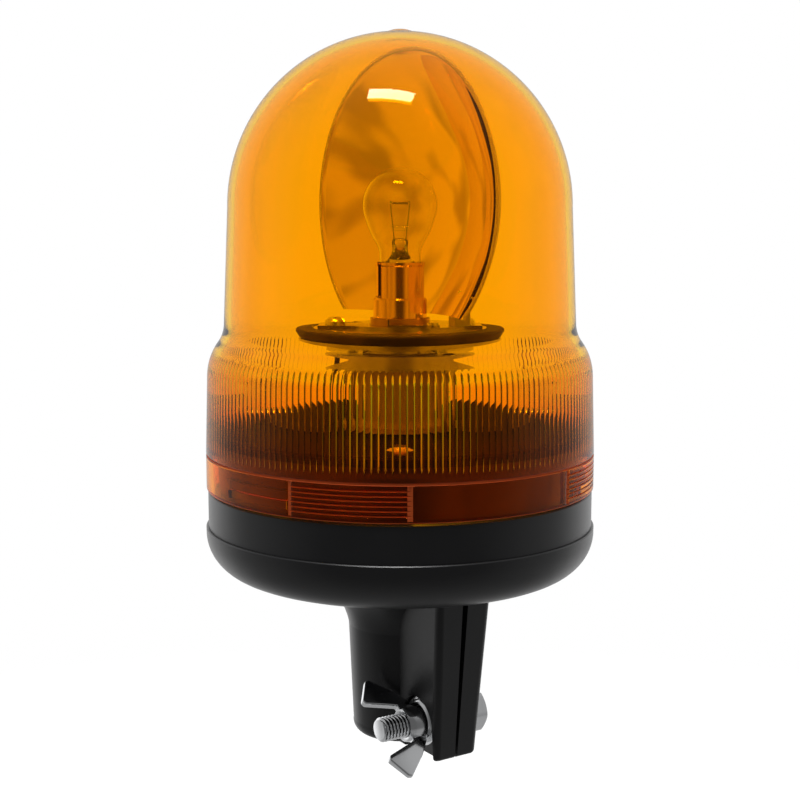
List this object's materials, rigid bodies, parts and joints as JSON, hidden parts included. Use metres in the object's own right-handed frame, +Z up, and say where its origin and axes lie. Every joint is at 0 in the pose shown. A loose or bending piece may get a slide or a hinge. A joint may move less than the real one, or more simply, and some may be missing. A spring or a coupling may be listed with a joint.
{
  "type": "rotating warning beacon",
  "caption": "Amber rotating warning beacon: domed bayonet lens over a turning mirror reflector and lamp, on a black bowl with a split pole socket clamped by a wing nut.",
  "frame": {"origin": "centre of the pole socket's mouth, on the pole's axis", "axes": "+Z up along the pole's axis, -Y towards the beacon's front, +X to the viewer's right"},
  "size_m": [0.1302, 0.1302, 0.2368],
  "materials": {
    "black_housing": "satin black, moulded",
    "black_deck": "satin black, moulded",
    "seal_rubber": "matt black rubber",
    "tyre_rubber": "matt black rubber",
    "zinc_steel": "bright zinc plated",
    "screw_steel": "bright zinc plated",
    "frame_steel": "pressed, bright",
    "motor_steel": "drawn, bright",
    "armature_steel": "laminated",
    "nylon": "natural nylon",
    "nickelled_brass": "nickel plated",
    "brass": "bright",
    "bronze": "sintered, oiled",
    "spring_steel": "drawn wire",
    "ferrite": "matt dark grey",
    "capacitor_coat": "dipped, ochre",
    "red_lead": "flexible insulation",
    "black_lead": "flexible insulation",
    "mirror_coat": "vacuum metallised, mirror bright inside",
    "lamp_glass": "clear, thin",
    "support_wire": "drawn wire",
    "tungsten": "drawn wire",
    "black_glass": "opaque black",
    "solder": "dull tin",
    "amber_lens": "polished, transparent amber"
  },
  "bodies": {
    "base": {"base_bowl": "black_housing", "base_gasket": "seal_rubber", "base_ring": "black_housing", "base_screws": "screw_steel", "lens_seal": "seal_rubber", "deck_plate": "black_deck", "deck_screws": "screw_steel", "contact_carrier": "nylon", "contact_terminal": "brass", "earth_strip": "brass", "clamp_bolt": "zinc_steel", "bolt_head_washer": "zinc_steel", "frame_posts": "frame_steel", "post_screws": "screw_steel", "bearing_plate": "frame_steel", "thrust_washer": "nylon", "lamp_column": "black_deck", "lamp_tube": "nickelled_brass", "holder_collar": "nickelled_brass", "plunger_guide": "nylon", "motor_can": "motor_steel", "motor_end_cap": "nylon", "motor_terminals": "brass", "motor_magnets": "ferrite", "motor_screws": "screw_steel", "suppressor_capacitor": "capacitor_coat", "lamp_feed_lead": "red_lead", "earth_lead": "black_lead", "motor_live_lead": "red_lead", "motor_earth_lead": "black_lead", "pole_plunger_spring": "spring_steel", "bulb_plunger_spring": "spring_steel"},
    "rotor": {"turntable": "frame_steel", "turntable_bush": "bronze", "drive_tyre": "tyre_rubber", "reflector": "mirror_coat", "reflector_bracket": "frame_steel", "bracket_screws": "screw_steel", "reflector_screws": "screw_steel", "hub_clip": "frame_steel", "clip_rivet": "screw_steel"},
    "motor_rotor": {"motor_shaft": "frame_steel", "friction_roller": "nylon", "motor_armature": "armature_steel"},
    "lens": {"lens_dome": "amber_lens"},
    "bulb": {"bulb_glass": "lamp_glass", "bulb_leads": "support_wire", "bulb_stem": "lamp_glass", "bulb_filament": "tungsten", "bulb_cap": "nickelled_brass", "bulb_insulator": "black_glass", "bulb_contact": "solder"},
    "bulb_contact_plunger": {"bulb_plunger": "brass"},
    "pole_contact_plunger": {"pole_plunger": "brass"},
    "nut_washer_body": {"nut_washer": "zinc_steel"},
    "wing_nut_body": {"wing_nut": "zinc_steel"}
  },
  "joints": [
    {"name": "rotor_spin", "type": "hinge", "parent": "base", "child": "rotor", "pos_m": [0, 0, 0.134], "axis": [0, 0, 1], "continuous": true},
    {"name": "motor_spin", "type": "hinge", "parent": "base", "child": "motor_rotor", "pos_m": [0, 0.03733, 0.13], "axis": [0, 0, 1], "continuous": true},
    {"name": "lens_twist", "type": "hinge", "parent": "base", "child": "lens", "pos_m": [0, 0, 0.09], "axis": [0, 0, 1], "range_deg": [0, 30]},
    {"name": "nut_travel", "type": "slide", "parent": "base", "child": "nut_washer_body", "axis": [-0.8387, -0.5446, 0], "range_m": [0, 0.01126]},
    {"name": "nut_spin", "type": "hinge", "parent": "nut_washer_body", "child": "wing_nut_body", "pos_m": [0.0128, -0.01971, 0.011], "axis": [-0.8387, -0.5446, 0], "range_deg": [0, 3240]},
    {"name": "bulb_push", "type": "slide", "parent": "base", "child": "bulb", "axis": [0, 0, -1], "range_m": [0, 0.002], "stiffness_N_per_m": 1500, "springref_m": -0.003, "deforming": ["bulb_plunger_spring"]},
    {"name": "bulb_contact_push", "type": "slide", "parent": "base", "child": "bulb_contact_plunger", "axis": [0, 0, -1], "range_m": [0, 0.002]},
    {"name": "pole_contact_push", "type": "slide", "parent": "base", "child": "pole_contact_plunger", "axis": [0, 0, 1], "range_m": [0, 0.003], "stiffness_N_per_m": 900, "springref_m": -0.003, "deforming": ["pole_plunger_spring"]}
  ],
  "couplings": [
    {"joint": "motor_spin", "follows": "rotor_spin", "ratio": -13.346},
    {"joint": "nut_travel", "follows": "nut_spin", "m_per_rad": 0.00019894},
    {"joint": "bulb_contact_push", "follows": "bulb_push", "ratio": 1}
  ]
}
